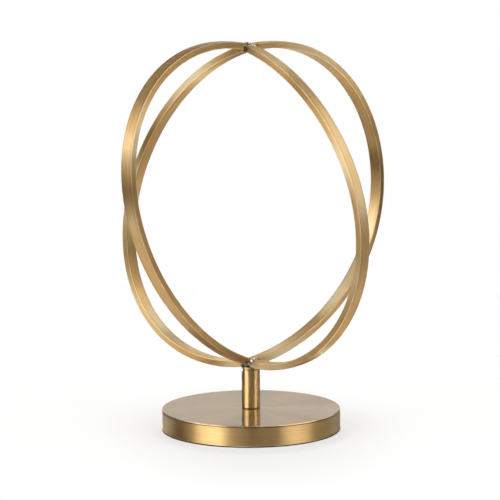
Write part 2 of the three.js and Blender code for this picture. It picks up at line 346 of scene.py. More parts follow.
# %% [markdown]
# Brush lines are noise that is stretched: along the brushing it changes slowly, across it fast.
# The group takes a place as (along, across, other) in metres, and gives a mask round 0.5 made of
# fine lines and broader bands.

# %% Brush lines group


def brush_group():
    """Stretched noise: the place is divided by a long length along and a short one across."""
    tree, (place, length, width), end = new_group(
        "brush_lines", ["Line Length", "Line Width"], "Lines")
    x, y, z = split(place)

    def stretched(length_share, width_share):
        """Place over (long, short, long), each a share of the group's length or width."""
        long, short = times(length, length_share), times(width, width_share)
        return joined(math("DIVIDE", x, long), math("DIVIDE", y, short), math("DIVIDE", z, long))

    fine = noise(stretched(1, 1), 1.0, 2.0, 0.6)
    bands = noise(stretched(2.6, 4.5), 1.0, 1.0)
    fill(end, Lines=add(times(fine, 0.55), times(bands, 0.45)))
    return tree


BRUSH = brush_group()

# %% [markdown]
# Cloudy marks are what hands and polish leave on a wide satin face: soft patches, several
# centimetres across, with a faint warp. Wear is read from an attribute that the mesh carries,
# 1 on an eased edge and 0 on the flats, and is broken up by noise, so that no edge is bright
# all along.

# %% Cloudy marks and edge wear groups
WEAR_SCALE = 60.0


def cloud_group():
    """Place over patch size, shifted by one soft noise and then read by another."""
    tree, (place, size), end = new_group("cloudy_marks", ["Patch Size"], "Clouds")
    scaled = fill(vector_math("SCALE", place), Scale=math("DIVIDE", 1.0, size))
    slow = noise(scaled.outputs[0], 0.6, 1.0)
    shifted = vector_math("ADD", scaled.outputs[0], slow)
    soft = noise(shifted.outputs[0], 1.0, 3.0)
    fill(end, Clouds=ramp(soft, 0.3, 0.7))
    return tree


def wear_group():
    """Edge attribute times a noise that leaves it between 35 and 70 percent."""
    tree, (place, edge), end = new_group("edge_wear", ["Edge"], "Wear")
    patchy = ramp(noise(place, WEAR_SCALE, 3.0), 0.35, 0.65, 0.35, 0.7)
    fill(end, Wear=times(edge, patchy, clamp=True))
    return tree


CLOUDS = cloud_group()
WEAR = wear_group()


def use(group, **values):
    """The mask that a group gives for these values, of which Place is a socket."""
    return fill(add_node(values["Place"].id_data, "Group", node_tree=group), **values).outputs[0]


def new_material(name, rough, metallic=1.0, base=(0.5, 0.5, 0.5)):
    """Material with one Principled shader; returns it, its tree and the shader."""
    material = bpy.data.materials.new(name)
    material.use_nodes = True
    material.diffuse_color = (*base, 1)
    tree = material.node_tree
    shader = tree.nodes["Principled BSDF"]
    fill(shader, Base_Color=base, Metallic=metallic, Roughness=rough)
    return material, tree, shader


def bump(shader, height, distance, strength=1.0):
    """Bump node from a height mask into the shader's normal."""
    node = fill(add_node(shader.id_data, "Bump"), Height=height, Distance=distance,
                Strength=strength)
    fill(shader, Normal=node.outputs[0])


# %% [markdown]
# The brass itself. Antique brass mirrors light in a soft warm tone, and at a low angle it turns
# paler, as every metal does. The bars are brushed along their length, so their gloss is
# stretched across it: the shader's tangent follows the bar's own UV map, whose first axis runs
# along the bar, and a quarter turn lays the wide direction of the gloss across it. A thin coat
# of lacquer adds a sharper, weaker gloss. Three marks come with the mesh as attributes: its
# edges are rubbed bright in the workshop, long stained and pale stretches are partly stains of
# the antique finish and partly painted shade and painted highlights, with painted shade towards
# the edges of the wide faces, and the heat of welding turns both ends orange.

# %% Brushed brass of the bars
BRASS = (0.70, 0.455, 0.19)
BRASS_DARK = (0.49, 0.295, 0.10)
BRASS_WORN = (0.98, 0.78, 0.47)
# rubbed brass also stands for painted highlights, and stained brass for painted shade
BRASS_RUBBED_AND_HIGHLIT = (0.99, 0.79, 0.46)
BRASS_STAINED_AND_SHADED = (0.33, 0.19, 0.06)
BRASS_HEATED = (0.56, 0.29, 0.045)
QUARTER_TURN = 0.25
HEAT_SCALE = 90.0


def stretch_gloss(shader, amount, **tangent):
    """Gloss stretched by this amount across the tangent."""
    node = add_node(shader.id_data, "Tangent", **tangent)
    fill(shader, Anisotropic=amount, Anisotropic_Rotation=QUARTER_TURN, Tangent=node.outputs[0])


def finish_marks(place, along, length, width, patch):
    """Masks of the brush lines at the place along, and of clouds and wear at the place."""
    lines = use(BRUSH, Place=along, Line_Length=length, Line_Width=width)
    clouds = use(CLOUDS, Place=place, Patch_Size=patch)
    return lines, clouds, use(WEAR, Place=place, Edge=attribute(place.id_data, "edge"))


def brass_tone(lines, clouds, line_share, cloud_share, light, dark):
    """Lines and clouds mix light with dark, and the mesh's patina attribute turns that to stained
    brass and painted shade at -1 and to rubbed brass and painted highlight at 1."""
    lined = times(ramp(lines, 0.35, 0.65), line_share)
    tone = mix(add(lined, times(clouds, cloud_share), clamp=True), light, dark)
    # -1 paints stained brass and shade, 1 paints rubbed brass and highlights
    for sign, goal in ((-1.0, BRASS_STAINED_AND_SHADED), (1.0, BRASS_RUBBED_AND_HIGHLIT)):
        tone = mix(times(attribute(lines.id_data, "patina_and_light"), sign, clamp=True), tone, goal)
    return tone


def bar_brass():
    """Lines, clouds and the patina attribute change the brass, which paints shade and highlights as
    well as stains; heat tints it and wear brightens its edges.
    """
    material, tree, shader = new_material("brushed_brass", 0.52, base=BRASS)
    fill(shader, Coat_Weight=0.25, Coat_Roughness=0.3, Coat_IOR=1.5)
    stretch_gloss(shader, 0.9, direction_type="UV_MAP", uv_map="along")
    place = object_place(tree)
    along = add_node(tree, "UVMap", uv_map="along").outputs[0]
    lines, clouds, wear = finish_marks(place, along, 45 * MM, 0.9 * MM, 35 * MM)
    tone = brass_tone(lines, clouds, 0.4, 0.3, BRASS, BRASS_DARK)
    patchy = ramp(noise(place, HEAT_SCALE), 0.35, 0.6, 0.35, 1.0)
    tone = mix(times(attribute(tree, "heat"), patchy), tone, BRASS_HEATED)
    rough = ramp(lines, 0.3, 0.7, 0.47, 0.57)
    fill(shader, Base_Color=mix(wear, tone, BRASS_WORN),
         Roughness=math("SUBTRACT", rough, times(wear, 0.06)))
    bump(shader, lines, 0.012 * MM, 0.5)
    return material


BAR_BRASS = bar_brass()

# %% [markdown]
# Base, post and cap were finished on a lathe, so their lines run round the axis. A place on any
# turned piece is given by where it lies round the axis and by how far it is along the profile,
# which is the height minus the radius: on the rim the radius stands still and on the top face
# the height does. The tangent then runs round Z, and the gloss is stretched down the rim and
# outwards on the top face, which gives such a disc its faint spokes of light. Painted shade
# adds to them: faces that look up are painted darker under the lacquer, the base carries dark
# bands by bearing round its rim and on its top face, and dark rings are painted where the post's
# parts meet and just under the base's top edge.

# %% Turned brass of base and post
BRASS_POLISHED = (0.85, 0.57, 0.252)
BRASS_TURNED = (0.69, 0.44, 0.175)
# dark rings of painted shade where the post's parts meet and just under the base's top edge
RING_SHADE = (0.08, 0.045, 0.018)
ROUGH_SPREAD = 0.02


def turned_place(place):
    """Place (x, z - r, y) on a turned piece, in metres, and the height z."""
    x, y, z = split(place)
    r = math("SQRT", add(times(x, x), times(y, y)))
    return joined(x, math("SUBTRACT", z, r), y), z


def turned_brass(name, rough, top_rough, anisotropy, line_width, line_share, bump_height,
                 coat_rough, coat_index, side_coat, up_face_shade, shade_rings):
    """Brass with lines round the axis; top_rough is the roughness of a face that looks up. The
    lacquer is full on such a face, but thinner where the patina attribute, which on the base
    holds painted shade, is below 0, and side_coat of it lies on upright ones. Under it the metal
    of such a face is darkened by up_face_shade, as painted shade. Painted shade also darkens a ring
    at each of the seams, given as (height, half width), where shade falls into a gap or under an
    edge."""
    material, tree, shader = new_material(name, rough, base=BRASS)
    stretch_gloss(shader, anisotropy, direction_type="RADIAL", axis="Z")
    place = object_place(tree)
    around, height = turned_place(place)
    lines, clouds, wear = finish_marks(place, around, 50 * MM, line_width, 40 * MM)
    tone = brass_tone(lines, clouds, line_share, 0.25, BRASS_POLISHED, BRASS_TURNED)
    upwards = split(add_node(tree, "NewGeometry").outputs["Normal"])[2]
    # painted shade: the metal of faces that look up is darkened
    tone = mix(ramp(upwards, 0.8, 0.98, 0.0, up_face_shade), tone, BRASS_STAINED_AND_SHADED)
    # painted shade: dark rings at the given heights
    for level, half in shade_rings:
        gap = math("ABSOLUTE", math("SUBTRACT", height, level))
        tone = mix(ramp(gap, 0.4 * half, half, 0.9, 0.0), tone, RING_SHADE)
    varied = ramp(lines, 0.3, 0.7, -ROUGH_SPREAD, ROUGH_SPREAD)
    level = ramp(upwards, 0.4, 0.9, rough, top_rough)
    gloss = add(level, add(varied, times(clouds, 0.04)))
    coat = times(ramp(upwards, 0.4, 0.9, side_coat, 1.0), add(attribute(tree, "patina_and_light"), 1.0),
                 clamp=True)
    fill(shader, Base_Color=mix(wear, tone, BRASS_WORN), Roughness=gloss,
         Coat_Weight=coat, Coat_Roughness=coat_rough, Coat_IOR=coat_index)
    bump(shader, lines, bump_height, 0.4)
    return material


# the base's dark ring is painted shade on the rim just under its eased top edge
BASE_BRASS = turned_brass(
    "turned_brass", rough=0.36, top_rough=0.38, anisotropy=0.95, line_width=0.8 * MM,
    line_share=0.5, bump_height=0.003 * MM, coat_rough=0.07, coat_index=1.9, side_coat=0.05,
    up_face_shade=1.0, shade_rings=[(BASE_TOP - 1.35 * MM, 0.7 * MM)])
# the post's dark rings are painted shade at its foot, at the tube's top and on the cap's top under
# the bars
POST_BRASS = turned_brass(
    "polished_brass", rough=0.3, top_rough=0.3, anisotropy=0.9, line_width=0.6 * MM,
    line_share=0.15, bump_height=0.002 * MM, coat_rough=0.1, coat_index=1.5, side_coat=0.12,
    up_face_shade=0.3, shade_rings=[(POST_FOOT, 1.2 * MM), (TUBE_TOP, 0.7 * MM), (CAP_TOP, 1.1 * MM)])


# %% [markdown]
# The welds were left bare. Weld metal is silvery where it froze smooth, and straw to dark brown
# where it stayed hot in the air, mostly in its hollows, so one noise sets the oxide and the
# mesh's own ripples do the rest.

# %% Weld metal
WELD_SILVER = (0.92, 0.85, 0.77)
WELD_OXIDE = (0.16, 0.09, 0.035)
OXIDE_SCALE = 300.0
GRAIN_SCALE = 900.0


def weld_metal():
    """Silver to dark oxide by soft noise and where the edge attribute is low, with grainy bump."""
    material, tree, shader = new_material("weld_metal", 0.3, base=(0.62, 0.58, 0.52))
    place = object_place(tree)
    patches = ramp(noise(place, OXIDE_SCALE), 0.50, 0.66)
    low = math("SUBTRACT", 1.0, attribute(tree, "edge"))
    hollow = math("MAXIMUM", patches, low, clamp=True)
    fill(shader, Base_Color=mix(hollow, WELD_SILVER, WELD_OXIDE),
         Roughness=ramp(patches, 0.0, 1.0, 0.24, 0.5))
    bump(shader, noise(place, GRAIN_SCALE, 3.0), 0.1 * MM, 0.5)
    return material


WELD_METAL = weld_metal()

# %% [markdown]
# Pieces inside the base are plain workshop metal and never show from outside, but they are
# finished too: zinc with a faint spangle, cast iron with a pebbled black skin, thin black paint
# on the plate, and wool felt, whose fibres need a rough surface and a little sheen.

# %% Hidden metals and felt


def grainy(name, dark, light, rough, metallic, size, height, **more):
    """Two tones mixed by a noise of the given grain size, with bump of the given height."""
    material, tree, shader = new_material(name, rough, metallic, light)
    grain = noise(object_place(tree), 1 / size, 4.0, 0.6)
    fill(shader, Base_Color=mix(ramp(grain, 0.35, 0.65), dark, light),
         Roughness=ramp(grain, 0.3, 0.7, rough + 0.08, rough - 0.08), **more)
    bump(shader, grain, height)
    return material


ZINC = grainy("zinc_steel", (0.55, 0.57, 0.60), (0.72, 0.74, 0.76), rough=0.34, metallic=1.0,
              size=2 * MM, height=0.02 * MM)
IRON = grainy("cast_iron", (0.02, 0.02, 0.022), (0.05, 0.05, 0.052), rough=0.62, metallic=0.3,
              size=1.2 * MM, height=0.2 * MM)
BLACK = grainy("black_steel", (0.02, 0.02, 0.022), (0.035, 0.035, 0.038), rough=0.42,
               metallic=0.0, size=3 * MM, height=0.02 * MM)
FELT = grainy("felt", (0.012, 0.011, 0.010), (0.04, 0.037, 0.033), rough=0.9, metallic=0.0,
              size=0.6 * MM, height=0.2 * MM, Sheen_Weight=0.4, Sheen_Roughness=0.5)
print("materials:", sorted(m.name for m in bpy.data.materials if m.use_nodes))

# %% [markdown]
# The bars. Each is flat bar bent the easy way, so its middle line lies in an upright plane
# through the axis: half an ellipse between the poles, with its widest point lifted or lowered by
# a sine, and with two small terms of twice the angle for the hand bending. A section with eased
# corners is carried along that line. The four ends at a pole are mitred like the corner of a
# picture frame, so each point of the section starts and stops at its own angle, where it meets
# the mitre plane, and a few Newton steps find that angle for the whole section at once. On the
# real piece the welder's joints lie a little left of the axis and lean, and some ends were filed
# back to make room for the bead, the front left one at a slant above and as a step below.

# %% Bars: the middle line
BAR_WIDTH = 13.4 * MM
BAR_THICKNESS = 7.05 * MM
BAR_EASE = 0.6 * MM
WIDE_CROWN = 0.32 * MM
SIDE_CROWN = 0.1 * MM
OVAL_HALF_HEIGHT = 156.2 * MM
MITRE_GAP = 0.8 * MM
# x of the joint at the bars' outer and at their inner faces
UPPER_JOINT = (-4.4 * MM, -3.2 * MM)
LOWER_JOINT = (-2.4 * MM, 0.2 * MM)
OVAL_MIDDLE = SEAT + BAR_THICKNESS / 2 + OVAL_HALF_HEIGHT
UPPER_POLE = OVAL_MIDDLE + OVAL_HALF_HEIGHT
LOWER_POLE = OVAL_MIDDLE - OVAL_HALF_HEIGHT

# turn in plan in degrees, then reach, lift, lean and slump in mm
BARS = {
    "front_left": (225, 171.0, 42.0, 2.6, -3.0),
    "rear_left": (135, 166.5, -37.5, -3.4, 0.3),
    "front_right": (315, 141.3, -32.2, 3.0, -6.2),
    "rear_right": (45, 205.4, 20.4, -7.2, 2.7),
}
NEAR_POLE = 0.03
NEWTON_STEPS = 12
NEWTON_WIDTH = 1e-5


def bar_line(shape, angle):
    """Distance out = reach sin + lean sin of twice the angle; height = half height cos + lift
    sin + slump sin of twice the angle. Returns both, and the unit slope of the line."""
    reach, lift, lean, slump = (size * MM for size in shape[1:])
    out = reach * np.sin(angle) + lean * np.sin(2 * angle)
    up = OVAL_HALF_HEIGHT * np.cos(angle) + lift * np.sin(angle) + slump * np.sin(2 * angle)
    out_rate = reach * np.cos(angle) + 2 * lean * np.cos(2 * angle)
    up_rate = (-OVAL_HALF_HEIGHT * np.sin(angle) + lift * np.cos(angle)
               + 2 * slump * np.cos(2 * angle))
    length = np.hypot(out_rate, up_rate)
    return out, up, out_rate / length, up_rate / length


def bar_place(shape, angle, outward):
    """The line's point moved by outward along the line's normal, which points away from the
    oval's middle."""
    out, up, out_slope, up_slope = bar_line(shape, angle)
    return out - up_slope * outward, OVAL_MIDDLE + up + out_slope * outward


# plan turn: how far an end is filed back at the outer and at the inner face. A value below 0
# makes it longer: the rear left bar's inner face runs on under the upper joint
UPPER_FILED = {225: (0.0, 3.0 * MM), 135: (0.0, -5.5 * MM), 315: (0.0, 2.6 * MM)}
LOWER_FILED = {225: (7.0 * MM, 0.0), 315: (0.0, 2.6 * MM)}
UPPER_STEP = (0.0, 1.0)
LOWER_STEP = (0.3, 0.6)


def smooth_step(value, low, high):
    """0 below low, 1 above high, and 3 t squared - 2 t cubed between them."""
    t = np.clip((value - low) / (high - low), 0, 1)
    return t * t * (3 - 2 * t)


def joint_place(shape, outward, guess):
    """The joint as (distance out, distance across) in the bar's own plan; the guess tells the
    pole, and the joint's x goes evenly from the outer face's value to the inner face's."""
    outer, inner = UPPER_JOINT if guess < 1 else LOWER_JOINT
    joint = inner + (outer - inner) * (outward / BAR_THICKNESS + 0.5)
    turn = np.radians(shape[0])
    return joint * np.cos(turn), -joint * np.sin(turn)


def filed_back(shape, outward, guess):
    """Length filed off, from the inner face's value to the outer face's by a smooth step."""
    filed, step = (UPPER_FILED, UPPER_STEP) if guess < 1 else (LOWER_FILED, LOWER_STEP)
    outer, inner = filed.get(shape[0], (0.0, 0.0))
    return inner + (outer - inner) * smooth_step(outward / BAR_THICKNESS + 0.5, *step)


def mitre_angles(shape, outward, across, guess):
    """Newton steps for the angle at which each section point meets its mitre plane, where the
    distance out is that of the mitre's tip, plus the point's distance across from the tip, plus
    the length filed off. The guess, near 0 or near pi, also tells the upper pole from the lower
    one."""
    joint_out, joint_across = joint_place(shape, outward, guess)
    target = joint_out + MITRE_GAP / 2 * np.sqrt(2) + np.abs(across - joint_across)
    target = target + filed_back(shape, outward, guess)
    angle = np.full_like(target, guess)
    for _ in range(NEWTON_STEPS):
        here = bar_place(shape, angle, outward)[0]
        rate = (bar_place(shape, angle + NEWTON_WIDTH, outward)[0] - here) / NEWTON_WIDTH
        angle = angle - (here - target) / rate
    return angle


# %% [markdown]
# The section runs once round the bar: width and thickness with four eased corners, and all four
# faces crowned by a fraction of a millimetre, as rolling and hand brushing leave them. The crown
# is too small to see as a shape, but it makes the reflections slide across the face, so light
# and dark run along the bar in soft stripes. Under the lower pole the bars are filed flat where
# they sit on the post's cap.

# %% Bars: the surface
BAR_ROWS = 380
SEAT_CLEARANCE = 0.3 * MM
SEAT_FALL = 8


def bar_section():
    """Section as (across, outward) pairs, with the mask of its eased corners. Each face is a
    parabola: its crown times one minus the squared share of the way from middle to corner."""
    w, t = BAR_WIDTH / 2 - SIDE_CROWN, BAR_THICKNESS / 2 - WIDE_CROWN
    share = np.linspace(-1, 1, 9)[1:-1]
    wide = [(x, t + WIDE_CROWN * (1 - (x / w) ** 2), 0) for x in share * w]
    side = [(w + SIDE_CROWN * (1 - (y / t) ** 2), y, 0) for y in -share * t]
    half = [(-w, t, BAR_EASE), *wide, (w, t, BAR_EASE), *side]
    return rounded(half + [(-x, -y, ease) for x, y, ease in half])


def bar_surface(shape):
    """Grid of rows along the bar and columns round the section, with a cap at each end: the
    cap's middle point lies on the ridge of the mitre. The lower half is lifted to the seat where
    it would be under it; past the post the seat falls by SEAT_FALL times the distance."""
    section, eased = bar_section()
    across, outward = section.T
    guesses = (NEAR_POLE, np.pi - NEAR_POLE)
    first, last = (mitre_angles(shape, outward, across, guess) for guess in guesses)
    share = np.linspace(0, 1, BAR_ROWS)[:, None]
    angle = first + (last - first) * share
    out, up = bar_place(shape, angle, outward)
    ridge = np.array([joint_place(shape, 0.0, guess)[1] for guess in guesses])
    ends = np.array([mitre_angles(shape, np.zeros(1), side[None], guess)[0]
                     for guess, side in zip(guesses, ridge)])
    cap_out, cap_up = bar_place(shape, ends, np.zeros(2))
    out = np.append(out.ravel(), cap_out)
    up = np.append(up.ravel(), cap_up)
    side = np.append(np.broadcast_to(across, angle.shape).ravel(), ridge)
    from_axis = np.hypot(out, side)
    clear = POST_RADIUS + SEAT_CLEARANCE
    file_to = SEAT - SEAT_FALL * np.clip(from_axis - clear, 0, None)
    up = np.where(up < OVAL_MIDDLE, np.maximum(up, file_to), up)
    turn = np.radians(shape[0])
    points = np.stack([out * np.cos(turn) - side * np.sin(turn),
                       out * np.sin(turn) + side * np.cos(turn), up], -1)
    return points, angle, section, eased


def bar_length(shape, angle):
    """Length along the line, from a running sum over a fine table of its points, in metres."""
    table = np.linspace(-0.2, np.pi + 0.2, 2000)
    out, up, _, _ = bar_line(shape, table)
    run = np.concatenate([[0], np.cumsum(np.hypot(np.diff(out), np.diff(up)))])
    return np.interp(angle, table, run)


def bar_uv(along, section):
    """u is the length along the line and v the length round the section, both in metres. One
    pair for each corner of each quad."""
    u = np.hstack([along, along[:, :1]])
    sides = np.linalg.norm(np.diff(np.vstack([section, section[:1]]), axis=0), axis=1)
    v = np.broadcast_to(np.concatenate([[0], np.cumsum(sides)]), u.shape)
    uv = np.stack([u, v], -1)
    return np.stack([uv[:-1, :-1], uv[1:, :-1], uv[1:, 1:], uv[:-1, 1:]], 2).reshape(-1, 2)


# For each face (0 outer, 1 side to the left of its heading, 2 inner, 3 other side): place along
# the bar from the top and half length in mm, and tone from -1, stain and painted shade, to 1,
# rubbed brass and painted highlight. They were set from how much lighter or darker a photograph
# was there than a render.
PATINA_AND_LIGHT = {
    "front_left": {
        0: [(82, 16, -0.4), (135, 65, -0.8), (248, 20, 0.5), (285, 12, -0.5), (312, 20, 0.4),
            (520, 34, 1.2)],
        1: [(68, 20, -0.3), (172, 24, -0.5), (238, 28, 1.2), (285, 18, -0.5), (380, 65, -0.5),
            (515, 25, -0.2)]},
    "rear_left": {
        1: [(40, 24, -1.0), (112, 34, 1.1), (198, 26, -1.2), (262, 32, 1.3), (325, 16, -0.4),
            (385, 40, 0.4), (498, 16, -0.5), (530, 18, 0.8)],
        2: [(38, 26, -1.1), (102, 18, 0.7), (185, 40, -0.25), (282, 30, 0.7), (345, 12, -0.2),
            (412, 26, 1.0), (460, 24, 0.7), (515, 20, 0.7)]},
    "front_right": {
        0: [(8, 14, 0.9), (68, 26, 0.9), (114, 18, -0.4), (175, 40, 0.45), (240, 26, 0.7),
            (378, 12, -0.4), (412, 22, 0.9)],
        2: [(95, 50, 0.9), (250, 60, 1.2)],
        3: [(30, 14, 0.9), (110, 26, -0.8), (195, 26, 0.8), (308, 18, 0.6), (368, 26, -0.5),
            (455, 36, 0.7), (485, 14, 0.6)]},
    "rear_right": {
        2: [(48, 20, -0.6), (118, 28, 0.8), (230, 40, -0.15), (304, 20, -0.5), (390, 30, 1.2),
            (465, 36, 1.1), (512, 14, -0.3), (572, 25, 0.8)],
        3: [(140, 60, 0.65), (338, 56, -1.2), (450, 35, -0.5), (568, 36, 0.9)]},
}
# painted shade that darkens the wide faces towards their edges
EDGE_SHADE = 0.35
# how far the heat tint reaches from either end, in mm
HEAT_REACH = {"front_left": 36, "rear_left": 32, "front_right": 16, "rear_right": 30}


def bar_patina_and_light(name, along, section):
    """Sum of bells, tone times e to the power of -(distance / half length) squared, each on its
    own face, which paint stains, shade and highlights, less a painted shade that rises by a smooth
    step towards the edges of the wide faces."""
    across, outward = section[:, 0] / BAR_WIDTH * 2, section[:, 1] / BAR_THICKNESS * 2
    face = np.argmax([outward, across, -outward, -across], axis=0)
    tone = -EDGE_SHADE * smooth_step(np.abs(across), 0.5, 0.95) * (face % 2 == 0) + 0 * along
    for side, stretches in PATINA_AND_LIGHT.get(name, {}).items():
        for place, half, strength in stretches:
            bell = np.exp(-((along - place * MM) / (half * MM)) ** 2)
            tone = tone + (face == side) * strength * bell
    return tone


def make_bar(name, shape):
    """Bar piece with its UV map along and its attributes edge, patina and heat, which is e to
    the power of -(distance from the nearer end / the bar's HEAT_REACH) squared. The patina
    attribute paints shade and highlights as well as stains."""
    points, angle, section, eased = bar_surface(shape)
    rows, columns = angle.shape
    quads = grid_faces(rows, columns)
    ring = np.arange(columns)
    after = (ring + 1) % columns
    caps = np.vstack([np.stack([ring, after, 0 * ring + rows * columns], -1),
                      np.stack([(rows - 1) * columns + after, (rows - 1) * columns + ring,
                                0 * ring + rows * columns + 1], -1)])
    faces = quads.tolist() + caps.tolist()
    piece = make_piece(name + "_bar", points, faces, BAR_BRASS, ["arc_" + name])
    along = bar_length(shape, angle)
    corner_uv = bar_uv(along, section)
    uv = np.zeros((len(piece.data.loops), 2))
    uv[:len(corner_uv)] = corner_uv
    piece.data.uv_layers.new(name="along").data.foreach_set("uv", uv.ravel())
    from_end = np.minimum(along - along[0], along[-1] - along)
    masks = {"edge": np.tile(eased, (rows, 1)), "patina_and_light": bar_patina_and_light(name, along, section),
             "heat": np.exp(-(from_end / (HEAT_REACH[name] * MM)) ** 2)}
    for title, mask in masks.items():
        mark(piece, title, np.append(mask, (0, 0)))
    tidy(piece)
    print("  length", round(np.ptp(corner_uv[:, 0]) / MM, 1), "mm")


for name, shape in BARS.items():
    make_bar(name, shape)


# %% [markdown]
# The welds. Between the mitred ends the welder laid a bead along each of the four grooves, so
# seen from above a weld is a plus sign, whose right arm is the longest and stands proud. It is
# one closed skin: round the joint its reach swells along the grooves and shrinks under the bars,
# its top follows the slope of the neighbouring bars with a crown over each groove, and small
# crescents across the groove are the frozen ripples. The lower weld also fills the space down to
# the post's cap. The crests carry the attribute that keeps them silvery, and the flanks stay
# dark with oxide.

# %% Welds
WELD_ROWS = 44
WELD_RIM_ROWS = 18
WELD_COLUMNS = 288
WELD_FLAT = 0.84
LONGER_ARM = 3.2 * MM
BED_DEPTH = 0.9 * MM
UNDERSIDE = -0.1 * MM
RIPPLE_PITCH = 2.3 * MM
RIPPLE_HEIGHT = 0.3 * MM
RIPPLES_FROM = (1.5 * MM, 3.5 * MM)
HOLLOW_FROM = (1 * MM, 5 * MM)
CROWN_FROM = 5 * MM
LUMP_SIZE = 3.2 * MM
LUMP_HEIGHT = 0.3 * MM
CREST_RANGE = (0.25, 0.55)
HEART_RANGE = (-3 * MM, -1.5 * MM)
HEART_CREST = 0.9
SEAT_CREST = 0.35
LUMP_SEED = 11
LUMP_EASE = 4 * MM
WELD_SHARP = np.radians(60)


def lumps(points, seed, wave, height):
    """Sum of eight sine waves in seeded directions; wave is about their length."""
    draw = np.random.default_rng(seed)
    waves = draw.normal(size=(8, 3)) * 2 * np.pi / wave
    shift = draw.uniform(0, 2 * np.pi, 8)
    return height * np.sin(points @ waves.T + shift).sum(-1) / 4


def weld_height(x, y, pole, angle):
    """Height of the bars' middle surface at a plan point: the pole's, plus each bar's slope
    there times the distance from the axis and the cubed cosine of the direction from the
    bar's."""
    heading = np.arctan2(y, x)
    far = np.hypot(x, y)
    height = np.full_like(far, pole)
    for shape in BARS.values():
        _, _, out_slope, up_slope = bar_line(shape, angle)
        lead = np.clip(np.cos(heading - np.radians(shape[0])), 0, None)
        height = height + lead ** 3 * far * up_slope / out_slope
    return height


def weld_grid():
    """Rows from the top's middle over a rounded rim to the underside's middle, as a share of the
    reach and a level from 1 at the top to -1 at the bottom."""
    flat = np.linspace(0, WELD_FLAT, WELD_ROWS)
    rim = np.linspace(np.pi / 2, -np.pi / 2, WELD_RIM_ROWS)[1:-1]
    share = np.concatenate([flat, WELD_FLAT + (1 - WELD_FLAT) * np.cos(rim), flat[::-1]])
    level = np.concatenate([flat * 0 + 1, np.sin(rim), flat * 0 - 1])
    return share[:, None], level[:, None]


def make_weld(name, joint, pole, angle, bar_reach, groove_reach, crown, tilt, hollow, dark, seat,
              node):
    """Weld round the joint. Its reach goes from bar_reach under the bars to groove_reach between
    them by a power of the cosine of twice the heading, and the ripples are a sine of the distance
    from the joint. crown is for the right arm and for the others, tilt turns the right arm to the
    front, hollow is how far the front groove stays unfilled, and the flanks are dark with oxide
    up to the levels in dark."""
    share, level = weld_grid()
    heading = full_turn(WELD_COLUMNS)
    right = np.clip(np.cos(heading), 0, 1) ** 2
    front = np.clip(-np.sin(heading), 0, 1) ** 8
    groove = np.abs(np.cos(2 * (heading + tilt * right))) ** (4 - 2.8 * right)
    longer = 0 if seat else LONGER_ARM
    reach = bar_reach + (groove_reach + longer * np.cos(heading) - bar_reach) * groove
    far = share * reach
    x, y = joint + far * np.cos(heading), far * np.sin(heading)
    phase = 2 * np.pi * (far / RIPPLE_PITCH + 0.9 * (1 - groove))
    ripple = np.sin(phase) * smooth_step(far, *RIPPLES_FROM)
    proud = crown[1] + (crown[0] - crown[1]) * right
    rise = -BED_DEPTH + (BED_DEPTH + proud) * groove + RIPPLE_HEIGHT * ripple * groove
    rise = proud + (rise - proud) * smooth_step(far, 0, CROWN_FROM)
    rise = rise - hollow * front * smooth_step(far, *HOLLOW_FROM)
    middle = weld_height(x, y, pole, angle)
    if seat:
        z = SEAT + (middle + BAR_THICKNESS / 2 + rise - SEAT) * (level + 1) / 2
    else:
        z = middle + level * (BAR_THICKNESS / 2 + np.where(level < 0, UNDERSIDE, rise))
    points = np.stack([x, y, z], -1)
    swell = lumps(points, LUMP_SEED, LUMP_SIZE, LUMP_HEIGHT)[..., None]
    points = points + swell * (points - (joint, 0, pole)) / (LUMP_EASE + far)[..., None]
    points[..., 2] = np.clip(points[..., 2], SEAT, None)
    crest = smooth_step(groove, *CREST_RANGE) * (0.9 + 0.3 * ripple)
    crest = crest * smooth_step(level, *dark) * (1 - front * min(1, hollow / MM))
    least = SEAT_CREST if seat else HEART_CREST * smooth_step(-far, *HEART_RANGE)
    crest = np.maximum(crest, least)
    faces = grid_faces(len(share), WELD_COLUMNS)
    piece = make_piece(name, points, faces, WELD_METAL, [node])
    mark(piece, "edge", crest)
    tidy(piece, WELD_SHARP)


make_weld("upper_weld", np.mean(UPPER_JOINT), UPPER_POLE, 0.0, bar_reach=4.2 * MM,
          groove_reach=9.2 * MM, crown=(1.9 * MM, 0.8 * MM), tilt=np.radians(28),
          hollow=0.8 * MM, dark=(-0.9, 0.2), seat=False, node="top_weld")
make_weld("lower_weld", np.mean(LOWER_JOINT), LOWER_POLE, np.pi, bar_reach=7.4 * MM,
          groove_reach=8.0 * MM, crown=(0.6 * MM, 0.6 * MM), tilt=0.0, hollow=0.0,
          dark=(-1.0, -0.5), seat=True, node="bottom_weld")


# %% [markdown]
# Base shell, tube and cap are turned pieces. Each is a closed outline of radius and height, with
# its corners eased by an arc, spun round the axis. The eased top edge of the base is what draws
# the thin bright line round the disc, so it gets its own size.

# %% Turned pieces of brass
BASE_SEGMENTS = 320
POST_SEGMENTS = 128
SHELL_WALL = 1.6 * MM
SHELL_TOP = 2.0 * MM
ROD_BORE = radius("threaded_rod") + SEAT_CLEARANCE
TUBE_WALL = 1.5 * MM
SPIGOT_RADIUS = POST_RADIUS - TUBE_WALL - SEAT_CLEARANCE
CAP_SHOULDER = TUBE_TOP + SEAT_CLEARANCE
CAP_BORE_TOP = SPIGOT_BOTTOM + 13 * MM
TOP_EDGE_EASE = 0.8 * MM
LOW_EDGE_EASE = 0.5 * MM
FINE_EASE = 0.25 * MM

